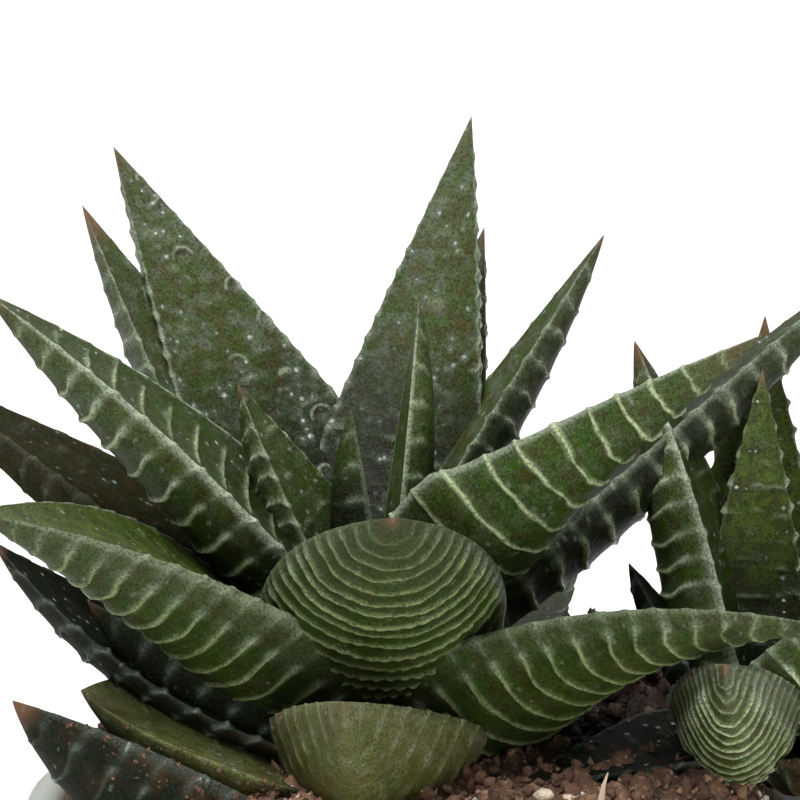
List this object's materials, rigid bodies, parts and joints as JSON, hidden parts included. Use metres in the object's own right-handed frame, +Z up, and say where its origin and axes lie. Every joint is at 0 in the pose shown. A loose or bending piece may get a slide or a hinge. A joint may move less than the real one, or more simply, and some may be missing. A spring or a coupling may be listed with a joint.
{
  "type": "potted haworthia",
  "caption": "Rosette succulent with thick, pointed, cross-ridged leaves and a small offset, growing from a soil mound in a round glazed pot.",
  "frame": {"origin": "middle of the pot's flat base", "axes": "+Z up along the pot's axis; -Y toward the viewer of the picture and +X to their right, so the offset rosette is on the +X side"},
  "size_m": [0.1215, 0.0943, 0.1497],
  "materials": {
    "leaf": "waxy",
    "stem": "matte",
    "soil": "crumbly",
    "pot": "gloss glaze"
  },
  "bodies": {
    "root": {"main_stem": "stem", "offset_stem": "stem", "main_leaf_01": "leaf", "main_leaf_02": "leaf", "main_leaf_03": "leaf", "main_leaf_04": "leaf", "main_leaf_05": "leaf", "main_leaf_06": "leaf", "main_leaf_07": "leaf", "main_leaf_08": "leaf", "main_leaf_09": "leaf", "main_leaf_10": "leaf", "main_leaf_11": "leaf", "main_leaf_12": "leaf", "main_leaf_13": "leaf", "main_leaf_14": "leaf", "main_leaf_15": "leaf", "main_leaf_16": "leaf", "main_leaf_17": "leaf", "main_leaf_18": "leaf", "main_leaf_19": "leaf", "main_leaf_20": "leaf", "back_leaf_01": "leaf", "back_leaf_02": "leaf", "back_leaf_03": "leaf", "back_leaf_04": "leaf", "back_leaf_05": "leaf", "offset_leaf_01": "leaf", "offset_leaf_02": "leaf", "offset_leaf_03": "leaf", "offset_leaf_04": "leaf", "offset_leaf_05": "leaf", "offset_leaf_06": "leaf", "offset_leaf_07": "leaf", "offset_leaf_08": "leaf", "offset_leaf_09": "leaf", "offset_leaf_10": "leaf", "offset_leaf_11": "leaf", "soil": "soil", "pot": "pot"}
  },
  "joints": []
}
